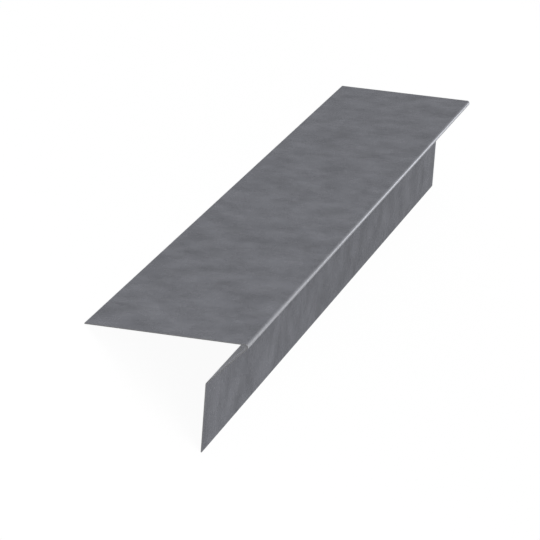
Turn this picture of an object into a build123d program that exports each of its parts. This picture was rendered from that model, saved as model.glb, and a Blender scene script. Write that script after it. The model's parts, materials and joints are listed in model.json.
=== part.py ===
from build123d import *
import os
from math import atan2, cos, degrees, radians, sin, tan

# A T-metal roof edge flashing: one strip of galvanised sheet, bent twice along its length.
# Driving dimensions are in millimetres and degrees.

length = 558.8           # between the two square-cut ends
sheet_thickness = 0.55   # 26 gauge galvanised steel
flange_width = 76.2      # from the rear edge to the outside of the nose
nose_overhang = 17.8     # the nose stands this far out past the front of the face
return_angle = 46.6      # between the flange and the return strip under it
overall_drop = 53.2      # from the top of the flange to the bottom edge of the face
bend_radius = 0.9        # inside radius of the nose and of the bend above the face

# Section of the sheet with the flange level, seen from the near end. X = 0 is the outside of
# the nose and Y = 0 is the top of the flange. The line follows the weather side of the sheet:
# along the flange, round the nose, back in and down the return, and down the face. The metal
# lies on the right of that line.
nose_radius = bend_radius + sheet_thickness
apex_x = nose_radius / tan(radians(return_angle) / 2) - nose_radius
bend_y = -(apex_x + nose_overhang) * tan(radians(return_angle))

rear_edge = (-flange_width, 0)
nose_apex = (apex_x, 0)
face_bend = (-nose_overhang, bend_y)
bottom_edge = (-nose_overhang, -overall_drop)

with BuildSketch() as section:
    with BuildLine():
        FilletPolyline(rear_edge, nose_apex, face_bend, bottom_edge, radius=(nose_radius, bend_radius))
        offset(amount=sheet_thickness, side=Side.RIGHT)
    make_face()

# Nothing holds the flange level, so the piece settles like a tent, nose up: the underside of
# the rear edge and the back of the bottom edge come down on the floor.
foot_rise = overall_drop - sheet_thickness
foot_run = flange_width - nose_overhang - sheet_thickness
lean = atan2(foot_rise, foot_run)
leaned_box = section.sketch.rotate(Axis.Z, degrees(lean)).bounding_box()
rest_plane = Plane(
    origin=(-leaned_box.center().X, 0, -leaned_box.min.Y),
    x_dir=(cos(lean), 0, sin(lean)),
    z_dir=(0, -1, 0),
)

# The whole piece: the same section from end to end, centred on the middle of its footprint.
with BuildPart() as flashing:
    with BuildSketch(rest_plane):
        add(section.sketch)
    extrude(amount=length / 2, both=True)

flashing.part.label = "t_metal_flashing"
os.makedirs("parts", exist_ok=True)
export_step(flashing.part, "parts/t_metal_flashing.step")
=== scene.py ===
"""Looks of a T-metal roof edge flashing: one strip of galvanised sheet, bent twice along its length.

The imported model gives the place, lean and length. The sheet is worked out here again with smooth
bends and eased cut edges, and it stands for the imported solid. Lengths are in metres.
"""
import json
import math

import bpy
import numpy as np
from mathutils import Matrix, Vector


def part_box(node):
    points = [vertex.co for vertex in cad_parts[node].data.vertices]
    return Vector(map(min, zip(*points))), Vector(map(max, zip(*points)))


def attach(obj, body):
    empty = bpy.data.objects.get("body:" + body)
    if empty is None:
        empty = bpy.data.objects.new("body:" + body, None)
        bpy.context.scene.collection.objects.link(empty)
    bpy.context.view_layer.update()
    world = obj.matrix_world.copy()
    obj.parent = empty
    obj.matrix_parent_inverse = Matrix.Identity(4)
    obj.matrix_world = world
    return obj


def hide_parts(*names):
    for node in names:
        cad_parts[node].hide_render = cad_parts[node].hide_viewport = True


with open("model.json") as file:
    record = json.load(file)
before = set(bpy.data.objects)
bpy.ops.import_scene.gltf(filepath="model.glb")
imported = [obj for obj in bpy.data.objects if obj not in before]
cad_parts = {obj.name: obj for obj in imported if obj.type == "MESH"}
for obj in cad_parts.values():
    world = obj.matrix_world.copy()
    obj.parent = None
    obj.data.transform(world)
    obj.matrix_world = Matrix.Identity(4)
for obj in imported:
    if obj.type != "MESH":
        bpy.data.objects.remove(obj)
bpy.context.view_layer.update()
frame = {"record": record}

NODE = "t_metal_flashing"

# Section of the sheet, as the part has it
SHEET = 0.00055          # thickness
FLANGE = 0.0762          # rear edge to the outside of the nose
OVERHANG = 0.0178        # nose past the front of the face
DROP = 0.0532            # top of the flange to the bottom edge of the face
RETURN_ANGLE = 46.6      # degrees between the flange and the return strip under it
BEND = 0.0009            # inside radius of the nose and of the bend above the face

# Finish of the shape
EASE = 0.00008           # how far the corners of a cut edge are eased
END_EASE = 0.6           # the part of that easing that goes across the sheet at its two ends
SHARP = 25.0             # degrees between two faces from which the edge between them shows as sharp
HIGHLIGHT_BURNISH_START = 0.0001   # how far into a bend its burnish and painted highlight begin
HIGHLIGHT_BURNISH_RUN = 0.0017     # how far past a bend its burnish and painted highlight end

# How many steps each stretch of the sheet is divided into
FLANGE_STEPS = 48
NOSE_STEPS = 32
RETURN_STEPS = 16
BEND_STEPS = 12
FACE_STEPS = 32
LENGTH_STEPS = 96

# Colours: the darkest and the lightest of each finish, and single ones
WEATHERED_ZINC = (0.170, 0.173, 0.185, 1.0), (0.248, 0.252, 0.272, 1.0)
# The back is painted paler than the weather side, as painted light that lifts the shade inside the fold
PAINTED_LIGHTER_BACK_ZINC = (0.350, 0.356, 0.383, 1.0), (0.460, 0.467, 0.502, 1.0)
CUT_STEEL = (0.110, 0.110, 0.116, 1.0), (0.190, 0.190, 0.197, 1.0)
# Burnished zinc on the outer side of each bend, painted much lighter than burnish alone: a painted
# highlight along the nose, and painted light on the back of the bend inside the fold
BURNISHED_ZINC_AND_HIGHLIGHT = (0.490, 0.496, 0.519, 1.0)
GLANCING_TINT = (0.300, 0.303, 0.320, 1.0)  # of what the zinc mirrors at a glancing angle
WHITE = (1.0, 1.0, 1.0, 1.0)

# Patterns: noise is given as its fineness to the metre, its detail and its roughness
CLOUDS = (54.0, 4.0, 0.6)
CLOUD_DRAW = (1.1, 0.9, 1.0)  # finer across the strip and longer along it
SHADING = (16.0, 2.0, 0.5)
NOISE_RANGE = (0.33, 0.67)    # what noise mostly keeps to, spread out to 0 and 1
CRYSTALS = 140.0              # spangle crystals to the metre
ROLL_MARKS = (2600.0, 0.05)   # fineness across the marks to the metre, and the part of it along them
SHEAR_MARKS = (1500.0, 1.0)
MARK_NOISE = (2.0, 0.6)       # detail and roughness of the noise of both kinds of marks
MARK_RANGE = (0.55, 0.75)     # heights at which a mark begins to count, and counts in full

# Tone of the zinc, from its darkest at 0 to its lightest at 1: the share of each pattern
CLOUD_TONE = 0.73
SHADING_TONE = 0.12
CRYSTAL_TONE = 0.15
ROLL_MARK_TONE = -0.25

# Roughness of each metal, and what each pattern adds to it
ZINC_ROUGH = 0.255
TONE_ROUGH = -0.06
CRYSTAL_ROUGH = 0.07
ROLL_MARK_ROUGH = 0.04
POLISH_ROUGH = -0.05
STEEL_ROUGH = 0.45
SHEAR_MARK_ROUGH = 0.15

# How metallic each finish is, and the strength and height of its marks
ZINC_METALLIC = 0.55
STEEL_METALLIC = 0.9
ROLL_MARK_BUMP = (0.35, 0.00002)
SHEAR_MARK_BUMP = (0.2, 0.00003)

# Camera: the photograph's viewing angle, turned with the lean of the piece as it rests
EYE = (-0.0456, -1.9256, 0.6494)
AIM = (0.0028, -0.1112, 0.0251)
ROLL = 48.4              # degrees anticlockwise about the line of sight
LENS = 261.2             # millimetres, on a sensor 36 millimetres wide
SENSOR = 36.0

# Studio
FLOOR_SIZE = 14.0
FLOOR_COLOUR = (0.86, 0.86, 0.86, 1.0)
FLOOR_WHITE = 0.95       # how much of the floor shows as plain backdrop white
WORLD_LIGHT = 0.55       # strength of the soft light from all round
BACKDROP_LIGHT = 1.0     # strength at which the backdrop is plain white

# Lamps: name, place, target, length of a side, and power in watts
LAMPS = (
    ("overhead", (-0.45, 0.4, 2.4), (0.0, 0.0, 0.0), 3.0, 44.0),
    ("behind", (0.18, 0.72, 0.175), (0.0, 0.1, 0.05), 0.17, 0.40),
    ("left", (-1.7, -2.2, 0.6), (0.0, -0.2, 0.03), 2.0, 13.0),
    ("right", (0.30, -0.7, 0.21), (0.02, -0.25, 0.03), 0.7, 3.3),
)


# Section of the sheet

def eased_steps(count):
    """Numbers from 0 to 1 that crowd towards both ends: half of one less the cosine of a half turn."""
    return 0.5 - 0.5 * np.cos(np.linspace(0.0, math.pi, count + 1))


def flat_stretch(start, end, angle, count):
    """Points on the line from start to end, each with the one normal that points along angle."""
    share = eased_steps(count)[:, None]
    points = np.asarray(start) * (1.0 - share) + np.asarray(end) * share
    normals = np.tile([math.cos(angle), math.sin(angle)], (count + 1, 1))
    return points, normals


def round_stretch(centre, radius, first, last, count):
    """Points at the centre plus radius times a normal that turns evenly from the first angle to the
    last. A negative radius puts the centre on the side that the normal points to."""
    turn = np.linspace(first, last, count + 1)
    normals = np.stack([np.cos(turn), np.sin(turn)], axis=1)
    return np.asarray(centre) + radius * normals, normals


def distance_along(points):
    """How far each point lies along the line through them all: the steps between neighbours, summed."""
    return np.concatenate([[0.0], np.cumsum(np.linalg.norm(np.diff(points, axis=0), axis=1))])


def weather_side():
    """The weather side of the section with the flange level, where x = 0 is the outside of the nose
    and z = 0 the top of the flange: along the flange, round the nose, in under it down the return,
    through the bend, and down the face. Gives the points, their outward normals, how far along the
    sheet each lies, and how far along the nose and the bend above the face begin and end."""
    nose = BEND + SHEET
    up, front = math.pi / 2, 0.0
    under = math.radians(RETURN_ANGLE) - up
    under_normal = np.array([math.cos(under), math.sin(under)])
    nose_centre = np.array([-nose, -nose])
    # The bend's centre lies one inside radius in front of the face and of the return.
    bend_x = BEND - OVERHANG
    reach = nose_centre @ under_normal + nose + BEND
    bend_centre = np.array([bend_x, (reach - bend_x * under_normal[0]) / under_normal[1]])

    flange = flat_stretch((-FLANGE, 0.0), (-nose, 0.0), up, FLANGE_STEPS)
    round_nose = round_stretch(nose_centre, nose, up, under, NOSE_STEPS)
    round_bend = round_stretch(bend_centre, -BEND, under, front, BEND_STEPS)
    under_strip = flat_stretch(round_nose[0][-1], round_bend[0][0], under, RETURN_STEPS)
    face = flat_stretch(round_bend[0][-1], (-OVERHANG, -DROP), front, FACE_STEPS)

    # Neighbours share a point, so each stretch leaves its last one to the next.
    stretches = [flange, round_nose, under_strip, round_bend, face]
    points = np.concatenate([s[0][:-1] for s in stretches] + [face[0][-1:]])
    normals = np.concatenate([s[1][:-1] for s in stretches] + [face[1][-1:]])
    along = distance_along(points)
    starts = np.cumsum([0, FLANGE_STEPS, NOSE_STEPS, RETURN_STEPS, BEND_STEPS])
    nose_bend, face_bend = along[starts[1:3]], along[starts[3:5]]
    return points, normals, along, nose_bend, face_bend


def burnish_and_highlight(along, bend):
    """How far a bend has burnished the metal on its outer side, which is also how much painted
    highlight it gets:
    the square of the sine of a half turn that begins HIGHLIGHT_BURNISH_START into the bend and ends
    HIGHLIGHT_BURNISH_RUN past it."""
    start, end = bend[0] + HIGHLIGHT_BURNISH_START, bend[1] + HIGHLIGHT_BURNISH_RUN
    share = np.clip((along - start) / (end - start), 0.0, 1.0)
    return np.sin(math.pi * share) ** 2


def closed_outline(points, normals, inset):
    """The weather side and, one thickness behind it, the back in the other direction, joined at the
    two cut edges with eased corners. Everything lies inset further into the metal."""
    rear_way, foot_way = points[0] - points[1], points[-1] - points[-2]
    rear_way, foot_way = (way / np.linalg.norm(way) for way in (rear_way, foot_way))
    depths = np.array([inset, SHEET - inset])
    front, back = (points - depth * normals for depth in depths)
    for side in (front, back):
        side[0] -= EASE * rear_way
        side[-1] -= EASE * foot_way
    rim_depths = depths[:, None] + np.array([[EASE], [-EASE]])
    foot_rim = points[-1] - inset * foot_way - rim_depths * normals[-1]
    rear_rim = points[0] - inset * rear_way - rim_depths[::-1] * normals[0]
    return np.concatenate([front, foot_rim, back[::-1], rear_rim])


# The sheet as a mesh

def part_lean():
    """How far the piece leans as it rests: the angle from level of its roofing face, in the record."""
    roofing = next(mount for mount in frame["record"]["mounts"] if mount["name"] == "roofing_face")
    return math.atan2(-roofing["axis"][0], roofing["axis"][2])


def turned(section, lean):
    """The section turned by the lean, anticlockwise as seen from the near end."""
    across = np.array([math.cos(lean), math.sin(lean)])
    upward = np.array([-math.sin(lean), math.cos(lean)])
    return section[:, :1] * across + section[:, 1:] * upward


def sheet_rings(points, normals):
    """The closed outline, leaned, set into the part's box and carried along its length, as one ring of
    points at each station. The first and last rings are set in a little, for the eased corners."""
    low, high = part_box(NODE)
    lean = part_lean()
    plain = turned(closed_outline(points, normals, 0.0), lean)
    drawn_in = turned(closed_outline(points, normals, END_EASE * EASE), lean)
    both_sides = turned(np.concatenate([points, points - SHEET * normals]), lean)
    place = np.array([low[0], low[2]]) - both_sides.min(axis=0)

    inner = low[1] + EASE + (high[1] - low[1] - 2.0 * EASE) * eased_steps(LENGTH_STEPS)
    stations = np.concatenate([[low[1]], inner, [high[1]]])
    sections = np.stack([drawn_in] + [plain] * len(inner) + [drawn_in]) + place
    lengthwise = np.broadcast_to(stations[:, None], sections.shape[:2])
    return np.stack([sections[..., 0], lengthwise, sections[..., 1]], axis=-1)


def closed_grid_quads(rings, steps):
    """Four corners of each square between neighbouring rings of a closed grid, facing outwards."""
    ring = np.arange(rings - 1)[:, None] * steps
    here, after = np.arange(steps), (np.arange(steps) + 1) % steps
    corners = [ring + here, ring + after, ring + steps + after, ring + steps + here]
    return np.stack(corners, axis=-1).reshape(-1, 4)


def end_quads(first, count):
    """Squares across the thickness at one end, from each point of the weather side to the back's
    behind it. The outline that starts at index first has count points a side and two more on each
    cut edge."""
    here = np.arange(count + 1)
    front, back = first + here, first + 2 * count + 1 - here
    return np.concatenate([
        np.stack([front[:-1], front[1:], back[1:], back[:-1]], axis=1),
        [[first + 2 * count + 3, first, first + 2 * count + 1, first + 2 * count + 2]],
    ])


def sheet_mesh():
    """The rings joined by squares, and closed across the thickness at both ends. The attribute
    developed holds each point's place on the flat sheet (across, along, and 1 on the back), and
    burnish_and_painted_highlight how far a bend has burnished it, which is also how much painted
    highlight and painted light it gets."""
    points, normals, along, nose_bend, face_bend = weather_side()
    grid = sheet_rings(points, normals)
    rings, steps = grid.shape[:2]
    count = len(points)

    walls = closed_grid_quads(rings, steps)
    near_end = end_quads(0, count)[:, ::-1]
    far_end = end_quads((rings - 1) * steps, count)
    quads = np.concatenate([walls, near_end, far_end])

    # The cut edges are the two rims between the eased corners, and both ends.
    ring, step = np.divmod(np.arange(len(walls)), steps)
    rim = ((step >= count - 1) & (step <= count + 1)) | (step >= 2 * count + 1)
    end = (ring == 0) | (ring == rings - 2)
    cut = np.concatenate([rim | end, np.ones(len(near_end) + len(far_end), bool)])

    across = np.concatenate([along, along[[-1, -1]], along[::-1], along[[0, 0]]])
    on_back = np.concatenate([np.zeros(count), [0.0, 1.0], np.ones(count), [1.0, 0.0]])
    # Share of burnish at each point: it also paints a highlight along the nose and painted light on the
    # back of the bend above the face
    polish_and_highlight = np.where(on_back > 0.5, burnish_and_highlight(across, face_bend), burnish_and_highlight(across, nose_bend))
    every_ring = [np.broadcast_to(row, (rings, steps)) for row in (across, on_back, polish_and_highlight)]
    developed = np.stack([every_ring[0], grid[..., 1], every_ring[1]], axis=-1)

    mesh = bpy.data.meshes.new("flashing_sheet")
    mesh.vertices.add(rings * steps)
    mesh.vertices.foreach_set("co", grid.ravel())
    mesh.loops.add(quads.size)
    mesh.loops.foreach_set("vertex_index", quads.ravel())
    mesh.polygons.add(len(quads))
    mesh.polygons.foreach_set("loop_start", np.arange(0, quads.size, 4))
    mesh.polygons.foreach_set("material_index", cut.astype(np.int32))
    for name, kind, field, values in (("developed", "FLOAT_VECTOR", "vector", developed),
                                      ("burnish_and_painted_highlight", "FLOAT", "value", every_ring[2])):
        mesh.attributes.new(name, kind, "POINT").data.foreach_set(field, values.ravel())
    mesh.update(calc_edges=True)
    mesh.validate()
    mesh.set_sharp_from_angle(angle=math.radians(SHARP))
    return mesh


# Nodes

def cleared_tree(owner):
    """The node tree of a new material or world, with nothing in it."""
    owner.use_nodes = True
    owner.node_tree.nodes.clear()
    return owner.node_tree


def feed(tree, socket, source):
    """Gives an input a link from a node's output, or a plain value."""
    if isinstance(source, bpy.types.NodeSocket):
        tree.links.new(source, socket)
    else:
        socket.default_value = source


def add_node(tree, kind, feeds=(), **settings):
    """A new node of a kind, with its settings, and with a source for each input that feeds names or
    gives the number of."""
    node = tree.nodes.new(kind)
    for name, setting in settings.items():
        setattr(node, name, setting)
    for name, source in dict(feeds).items():
        feed(tree, node.inputs[name], source)
    return node


def noise(tree, place, scale, detail, roughness):
    """Cloudy numbers round one half, over a place given in metres."""
    feeds = {"Vector": place, "Scale": scale, "Detail": detail, "Roughness": roughness}
    return add_node(tree, "ShaderNodeTexNoise", feeds).outputs[0]


def spread(tree, value, low, high):
    """The value moved from the range low to high to the range 0 to 1, and held inside it."""
    feeds = {"Value": value, "From Min": low, "From Max": high}
    return add_node(tree, "ShaderNodeMapRange", feeds).outputs["Result"]


def mixed(tree, share, first, second):
    """A colour between two, by share. Each is a colour or the output of a node."""
    node = add_node(tree, "ShaderNodeMix", {"Factor": share}, data_type="RGBA")
    colours = [socket for socket in node.inputs if socket.type == "RGBA"]
    for socket, colour in zip(colours, (first, second)):
        feed(tree, socket, colour)
    return next(socket for socket in node.outputs if socket.type == "RGBA")


def worked(tree, operation, first, second):
    """The outcome of one operation on two terms. Each is a number or the output of a node."""
    return add_node(tree, "ShaderNodeMath", {0: first, 1: second}, operation=operation).outputs[0]


def weighed_sum(tree, start, terms):
    """The start plus each term times its share, for terms that are a node's output and a share."""
    total = start
    for value, share in terms:
        feeds = {0: value, 1: share, 2: total}
        total = add_node(tree, "ShaderNodeMath", feeds, operation="MULTIPLY_ADD").outputs[0]
    return total


def bumped(tree, height, strength, distance):
    """The surface's normal with the height as a bump on it."""
    feeds = {"Height": height, "Strength": strength, "Distance": distance}
    return add_node(tree, "ShaderNodeBump", feeds).outputs["Normal"]


# Finishes

def worked_marks_group():
    """Fine marks that run one way, as rolls and shears leave them: noise that is stretched along the
    second axis of the place it is given. Puts out a height and a mask of the stronger marks."""
    group = bpy.data.node_groups.new("worked_marks", "ShaderNodeTree")
    for name, kind, way in (
        ("Place", "NodeSocketVector", "INPUT"),
        ("Finest", "NodeSocketFloat", "INPUT"),
        ("Stretch", "NodeSocketFloat", "INPUT"),
        ("Height", "NodeSocketFloat", "OUTPUT"),
        ("Marks", "NodeSocketFloat", "OUTPUT"),
    ):
        group.interface.new_socket(name, in_out=way, socket_type=kind)
    given = group.nodes.new("NodeGroupInput").outputs
    squeeze = add_node(group, "ShaderNodeCombineXYZ", {"X": 1.0, "Y": given["Stretch"], "Z": 1.0})
    place = add_node(group, "ShaderNodeVectorMath", {0: given["Place"], 1: squeeze.outputs[0]},
                     operation="MULTIPLY")
    height = noise(group, place.outputs[0], given["Finest"], *MARK_NOISE)
    marks = spread(group, height, *MARK_RANGE)
    add_node(group, "NodeGroupOutput", {"Height": height, "Marks": marks})
    return group


def place_marks(tree, group, place, finest, stretch):
    """The marks' group placed in a material with its own values."""
    feeds = {"Place": place, "Finest": finest, "Stretch": stretch}
    return add_node(tree, "ShaderNodeGroup", feeds, node_tree=group).outputs


def galvanised_sheet(marks_group):
    """Dull hot-dip zinc: soft grey clouds about 17 mm across, drawn out along the strip, broader
    shading, a trace of the spangle's crystals, fine roll marks along the length, and smoother metal
    where the bends have burnished it, painted brighter there as a highlight. The back is painted paler
    than the weather side, as painted light that lifts the shade inside the fold."""
    material = bpy.data.materials.new("galvanised_sheet")
    tree = cleared_tree(material)
    place = add_node(tree, "ShaderNodeAttribute", attribute_name="developed").outputs["Vector"]
    # Burnish share, which also carries the painted highlight on the bends
    polish_and_highlight = add_node(tree, "ShaderNodeAttribute", attribute_name="burnish_and_painted_highlight").outputs["Fac"]

    drawn_out = add_node(tree, "ShaderNodeVectorMath", {0: place, 1: CLOUD_DRAW}, operation="MULTIPLY")
    clouds = spread(tree, noise(tree, drawn_out.outputs[0], *CLOUDS), *NOISE_RANGE)
    shading = spread(tree, noise(tree, place, *SHADING), *NOISE_RANGE)
    crystals = add_node(tree, "ShaderNodeTexVoronoi", {"Vector": place, "Scale": CRYSTALS})
    crystal = add_node(tree, "ShaderNodeSeparateColor", {"Color": crystals.outputs["Color"]}).outputs
    roll_marks = place_marks(tree, marks_group, place, *ROLL_MARKS)
    tone = weighed_sum(tree, 0.0, (
        (clouds, CLOUD_TONE),
        (shading, SHADING_TONE),
        (crystal["Red"], CRYSTAL_TONE),
        (roll_marks["Marks"], ROLL_MARK_TONE),
    ))
    rough = weighed_sum(tree, ZINC_ROUGH, (
        (tone, TONE_ROUGH),
        (crystal["Green"], CRYSTAL_ROUGH),
        (roll_marks["Marks"], ROLL_MARK_ROUGH),
        (polish_and_highlight, POLISH_ROUGH),
    ))

    on_back = add_node(tree, "ShaderNodeSeparateXYZ", {0: place}).outputs["Z"]
    weathered = mixed(tree, tone, *WEATHERED_ZINC)
    # The back is painted paler, as painted light that lifts the shade inside the fold
    painted_lighter_back = mixed(tree, tone, *PAINTED_LIGHTER_BACK_ZINC)
    zinc = mixed(tree, on_back, weathered, painted_lighter_back)
    # The burnish share mixes in a lighter colour that is a painted highlight on the bends
    shader = add_node(tree, "ShaderNodeBsdfPrincipled", {
        "Base Color": mixed(tree, polish_and_highlight, zinc, BURNISHED_ZINC_AND_HIGHLIGHT),
        "Roughness": rough,
        "Metallic": ZINC_METALLIC,
        "Specular IOR Level": 0.0,
        "Specular Tint": GLANCING_TINT,
        "Normal": bumped(tree, roll_marks["Height"], *ROLL_MARK_BUMP),
    })
    add_node(tree, "ShaderNodeOutputMaterial", {"Surface": shader.outputs["BSDF"]})
    return material


def sheared_edge(marks_group):
    """Bare steel where the sheet was cut, darker than the zinc, with small marks all over it."""
    material = bpy.data.materials.new("sheared_edge")
    tree = cleared_tree(material)
    place = add_node(tree, "ShaderNodeTexCoord").outputs["Object"]
    shear_marks = place_marks(tree, marks_group, place, *SHEAR_MARKS)
    shader = add_node(tree, "ShaderNodeBsdfPrincipled", {
        "Base Color": mixed(tree, shear_marks["Height"], *CUT_STEEL),
        "Roughness": weighed_sum(tree, STEEL_ROUGH, [(shear_marks["Marks"], SHEAR_MARK_ROUGH)]),
        "Metallic": STEEL_METALLIC,
        "Normal": bumped(tree, shear_marks["Height"], *SHEAR_MARK_BUMP),
    })
    add_node(tree, "ShaderNodeOutputMaterial", {"Surface": shader.outputs["BSDF"]})
    return material


# Studio

def seen_directly(tree):
    """1 for a ray that comes from the camera, a glossy surface or glass, and 0 for any other."""
    path = add_node(tree, "ShaderNodeLightPath").outputs
    seen = worked(tree, "MAXIMUM", path["Is Camera Ray"], path["Is Glossy Ray"])
    return worked(tree, "MAXIMUM", seen, path["Is Transmission Ray"])


def studio_world():
    """Soft white light from all round, and a white backdrop where it is seen."""
    world = bpy.data.worlds.new("studio")
    tree = cleared_tree(world)
    light = add_node(tree, "ShaderNodeBackground", {"Color": WHITE, "Strength": WORLD_LIGHT})
    backdrop = add_node(tree, "ShaderNodeBackground", {"Color": WHITE, "Strength": BACKDROP_LIGHT})
    choice = add_node(tree, "ShaderNodeMixShader",
                      {0: seen_directly(tree), 1: light.outputs[0], 2: backdrop.outputs[0]})
    add_node(tree, "ShaderNodeOutputWorld", {"Surface": choice.outputs[0]})
    bpy.context.scene.world = world


def floor_finish():
    """Matt pale grey. Where it is seen it is mostly backdrop white, with the shadow kept."""
    material = bpy.data.materials.new("floor")
    tree = cleared_tree(material)
    matt = add_node(tree, "ShaderNodeBsdfDiffuse", {"Color": FLOOR_COLOUR})
    white = add_node(tree, "ShaderNodeEmission", {"Color": WHITE, "Strength": BACKDROP_LIGHT})
    whiteness = worked(tree, "MULTIPLY", seen_directly(tree), FLOOR_WHITE)
    choice = add_node(tree, "ShaderNodeMixShader",
                      {0: whiteness, 1: matt.outputs[0], 2: white.outputs[0]})
    add_node(tree, "ShaderNodeOutputMaterial", {"Surface": choice.outputs[0]})
    return material


def studio_floor():
    """A level square floor under the object."""
    half = FLOOR_SIZE / 2
    corners = [(-half, -half, 0), (half, -half, 0), (half, half, 0), (-half, half, 0)]
    mesh = bpy.data.meshes.new("floor")
    mesh.from_pydata(corners, [], [(0, 1, 2, 3)])
    mesh.materials.append(floor_finish())
    floor = bpy.data.objects.new("floor", mesh)
    bpy.context.scene.collection.objects.link(floor)


def soft_lamp(name, place, target, side, power):
    """A square area lamp at a place, turned to a target, which the camera doesn't see."""
    lamp = bpy.data.lights.new(name, "AREA")
    lamp.size = side
    lamp.energy = power
    holder = bpy.data.objects.new(name, lamp)
    way = Vector(target) - Vector(place)
    holder.matrix_world = Matrix.Translation(place) @ way.to_track_quat("-Z", "Y").to_matrix().to_4x4()
    holder.visible_camera = False
    bpy.context.scene.collection.objects.link(holder)


def photo_camera():
    """The photograph's camera: a long lens from the near end, rolled as the piece leans."""
    data = bpy.data.cameras.new("photo_camera")
    data.lens = LENS
    data.sensor_width = SENSOR
    camera = bpy.data.objects.new("photo_camera", data)
    level = (Vector(AIM) - Vector(EYE)).to_track_quat("-Z", "Y").to_matrix().to_4x4()
    camera.matrix_world = Matrix.Translation(EYE) @ level @ Matrix.Rotation(math.radians(ROLL), 4, "Z")
    bpy.context.scene.collection.objects.link(camera)
    bpy.context.scene.camera = camera


flashing = bpy.data.objects.new("flashing_sheet", sheet_mesh())
bpy.context.scene.collection.objects.link(flashing)
worked_marks = worked_marks_group()
flashing.data.materials.append(galvanised_sheet(worked_marks))
flashing.data.materials.append(sheared_edge(worked_marks))
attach(flashing, "root")
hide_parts(NODE)

studio_world()
studio_floor()
for lamp_values in LAMPS:
    soft_lamp(*lamp_values)
photo_camera()
bpy.context.scene.view_settings.view_transform = "Standard"
